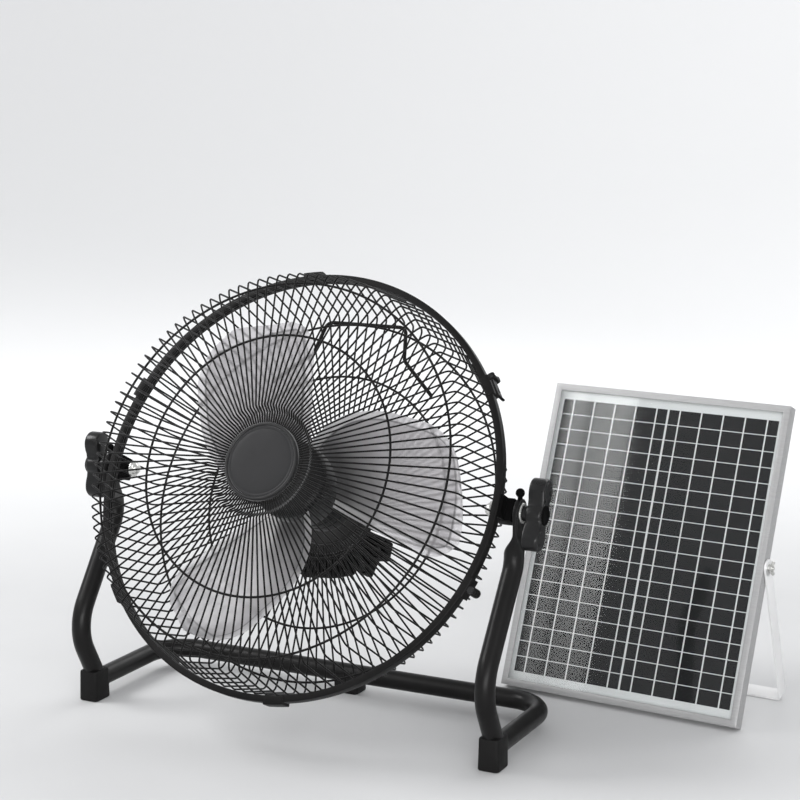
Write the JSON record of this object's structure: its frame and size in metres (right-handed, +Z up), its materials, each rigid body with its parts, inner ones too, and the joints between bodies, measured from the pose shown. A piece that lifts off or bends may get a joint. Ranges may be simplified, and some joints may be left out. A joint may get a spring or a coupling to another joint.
{
  "type": "portable solar floor fan with panel",
  "caption": "Floor fan with a tilting wire-guarded head in a bent tube stand, a cordless control housing behind the motor, and a framed solar panel on its own folding prop.",
  "frame": {"origin": "floor level, under the middle of the overall bounding box of fan and panel together", "axes": "+X across the fan, from its left foot to its right foot as seen from the front, and toward the panel's side; -Y is where the fan blows; +Z up"},
  "size_m": [0.8594, 0.5997, 0.5738],
  "materials": {
    "black_metal": "satin black powder coat",
    "rubber": "matte",
    "zinc": "zinc plated",
    "black_plastic": "satin",
    "dark_plastic": "satin",
    "black_steel": "black oxide",
    "badge_grey": "satin grey",
    "steel": "ground",
    "copper": "wound copper and laminated steel",
    "cell_wrap": "shrink wrap",
    "green_board": "solder mask",
    "magnet": "dull",
    "blade_grey": "translucent grey, glossy",
    "knob_plastic": "glossy",
    "aluminium": "satin anodised",
    "glass": "clear",
    "cell": "dark silicon",
    "ribbon": "tinned",
    "white_sheet": "matte white"
  },
  "bodies": {
    "stand": {"stand_tube": "black_metal", "front_feet": "rubber", "rear_foot": "rubber", "foot_screws": "zinc", "leg_end_caps": "black_plastic"},
    "head": {"pivot_blocks": "black_plastic", "friction_washers": "rubber", "pivot_bolts": "zinc", "pivot_washers": "zinc", "front_guard_wires": "black_metal", "front_guard_hoops": "black_metal", "rear_guard_wires": "black_metal", "rear_guard_hoops": "black_metal", "guard_band": "dark_plastic", "guard_clips": "dark_plastic", "latch_pin": "black_steel", "band_screw": "black_steel", "badge_rim": "badge_grey", "badge_plate": "badge_grey", "badge_backing": "black_plastic", "badge_screws": "zinc", "carry_handle": "black_metal", "motor_mount_plate": "black_metal", "motor_can": "steel", "motor_end_cap": "steel", "motor_stator": "copper", "motor_bearings": "steel", "motor_screws": "zinc", "rear_housing": "black_plastic", "housing_cover": "black_plastic", "housing_screws": "zinc", "port_pod": "black_plastic", "dc_socket": "black_plastic", "battery_cells": "cell_wrap", "control_board": "green_board"},
    "rotor": {"motor_shaft": "steel", "motor_magnets": "magnet", "impeller": "blade_grey", "blade_nut": "black_plastic"},
    "tilt_knob_right": {"knob_right": "knob_plastic", "knob_nut_right": "steel", "knob_cap_right": "knob_plastic"},
    "tilt_knob_left": {"knob_left": "knob_plastic", "knob_nut_left": "steel", "knob_cap_left": "knob_plastic"},
    "latch": {"latch_lever": "dark_plastic"},
    "power_button": {"button_power": "black_plastic"},
    "speed_button": {"button_speed": "black_plastic"},
    "panel": {"panel_frame": "aluminium", "panel_glass": "glass", "solar_cells": "cell", "cell_ribbons": "ribbon", "panel_backsheet": "white_sheet", "junction_box": "black_plastic", "panel_lead": "rubber", "lead_plug": "black_plastic", "kickstand_bolts": "zinc"},
    "prop": {"kickstand": "aluminium"},
    "wing_left": {"wing_nut_left": "zinc"},
    "wing_right": {"wing_nut_right": "zinc"}
  },
  "joints": [
    {"name": "head_tilt", "type": "hinge", "parent": "stand", "child": "head", "pos_m": [-0.10149, -0.09715, 0.30364], "axis": [-1, 0, 0], "range_deg": [-46.7, 63.3]},
    {"name": "rotor_spin", "type": "hinge", "parent": "head", "child": "rotor", "pos_m": [-0.10149, -0.11814, 0.3142], "axis": [0, 0.8934, -0.4493], "continuous": true},
    {"name": "tilt_knob_right_turn", "type": "hinge", "parent": "head", "child": "tilt_knob_right", "pos_m": [0.21052, -0.09715, 0.30364], "axis": [1, 0, 0], "range_deg": [0, 360]},
    {"name": "tilt_knob_left_turn", "type": "hinge", "parent": "head", "child": "tilt_knob_left", "pos_m": [-0.41348, -0.09715, 0.30364], "axis": [-1, 0, 0], "range_deg": [0, 360]},
    {"name": "latch_open", "type": "hinge", "parent": "head", "child": "latch", "pos_m": [0.13537, -0.04714, 0.45537], "axis": [0, -0.8934, 0.4493], "range_deg": [0, 100]},
    {"name": "power_press", "type": "slide", "parent": "head", "child": "power_button", "axis": [0, -0.8934, 0.4493], "range_m": [0, 0.0015]},
    {"name": "speed_press", "type": "slide", "parent": "head", "child": "speed_button", "axis": [0, -0.8934, 0.4493], "range_m": [0, 0.0015]},
    {"name": "panel_place", "type": "slide", "parent": "stand", "child": "panel", "axis": [0.996, -0.0898, 0], "range_m": [0, 0.3]},
    {"name": "prop_fold", "type": "hinge", "parent": "panel", "child": "prop", "pos_m": [0.0827, 0.21573, 0.19723], "axis": [0.996, -0.0898, 0], "range_deg": [-36, 10]},
    {"name": "wing_left_turn", "type": "hinge", "parent": "panel", "child": "wing_left", "pos_m": [0.07573, 0.21636, 0.19723], "axis": [-0.996, 0.0898, 0], "range_deg": [0, 360]},
    {"name": "wing_right_turn", "type": "hinge", "parent": "panel", "child": "wing_right", "pos_m": [0.42551, 0.18483, 0.19723], "axis": [0.996, -0.0898, 0], "range_deg": [0, 360]}
  ]
}
